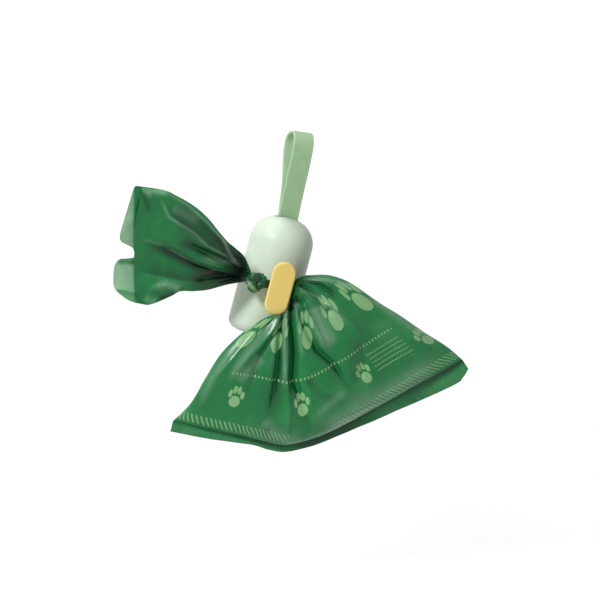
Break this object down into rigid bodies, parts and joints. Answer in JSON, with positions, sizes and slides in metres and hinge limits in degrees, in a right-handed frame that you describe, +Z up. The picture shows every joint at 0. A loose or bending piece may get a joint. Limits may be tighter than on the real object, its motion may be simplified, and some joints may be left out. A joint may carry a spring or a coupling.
{
  "type": "dog waste bag dispenser",
  "caption": "Hanging capsule dispenser for rolls of waste bags: webbing loop, domed cap, pull-off lower half, film slot at the back, and a front clip holding a tied full bag.",
  "frame": {"origin": "inside top of the strap's loop, where the lead bears", "axes": "+Z up against gravity as it hangs; the case leans 15 degrees from +Z towards +X; the clip faces -Y"},
  "size_m": [0.2344, 0.0809, 0.2059],
  "materials": {
    "webbing": "fine woven webbing",
    "mint_shell": "satin moulded",
    "yellow_clip": "satin moulded",
    "inner_plastic": "satin moulded",
    "steel": "plated",
    "seal_rubber": "matte",
    "lip_rubber": "matte",
    "card": "plain",
    "film": "glossy thin film"
  },
  "bodies": {
    "strap": {"strap_loop": "webbing"},
    "cap": {"dome_cap": "mint_shell", "strap_pin": "steel", "pin_keeper": "inner_plastic", "keeper_screws": "steel"},
    "canister": {"canister": "mint_shell", "seal_ring": "seal_rubber", "clip_hook": "yellow_clip", "clip_backing": "inner_plastic", "clip_screws": "steel", "film_lip": "lip_rubber"},
    "roll": {"bag_roll": "film", "roll_core": "card"},
    "leader": {"film_leader": "film"},
    "neck": {"bag_neck": "film", "bag_knot": "film"},
    "pouch": {"bag_pouch": "film"},
    "tail": {"bag_tail": "film"}
  },
  "joints": [
    {"name": "cap_swing", "type": "hinge", "parent": "strap", "child": "cap", "pos_m": [-0.01138, 0, -0.06102], "axis": [0.9659, 0, -0.2588], "range_deg": [-15, 15], "stiffness_Nm_per_rad": 0.3, "springref_deg": -20.8},
    {"name": "canister_pull", "type": "slide", "parent": "cap", "child": "canister", "axis": [0.2588, 0, 0.9659], "range_m": [-0.06, 0]},
    {"name": "roll_turn", "type": "hinge", "parent": "canister", "child": "roll", "pos_m": [-0.02225, 0, -0.10159], "axis": [0.2588, 0, 0.9659], "range_deg": [0, 44]},
    {"name": "leader_pull", "type": "slide", "parent": "canister", "child": "leader", "axis": [-0.7405, 0.642, 0.1984], "range_m": [0, 0.012]},
    {"name": "neck_lift", "type": "slide", "parent": "canister", "child": "neck", "axis": [0.2588, 0, 0.9659], "range_m": [0, 0.021]},
    {"name": "pouch_swing", "type": "hinge", "parent": "neck", "child": "pouch", "pos_m": [-0.01234, -0.02475, -0.09804], "axis": [-0.9659, 0, 0.2588], "range_deg": [0, 50]},
    {"name": "tail_flex", "type": "hinge", "parent": "neck", "child": "tail", "pos_m": [-0.03631, -0.02595, -0.09224], "axis": [0.9659, 0, -0.2588], "range_deg": [-20, 20], "stiffness_Nm_per_rad": 0.02}
  ],
  "couplings": [
    {"joint": "leader_pull", "follows": "roll_turn", "m_per_rad": 0.0155}
  ]
}
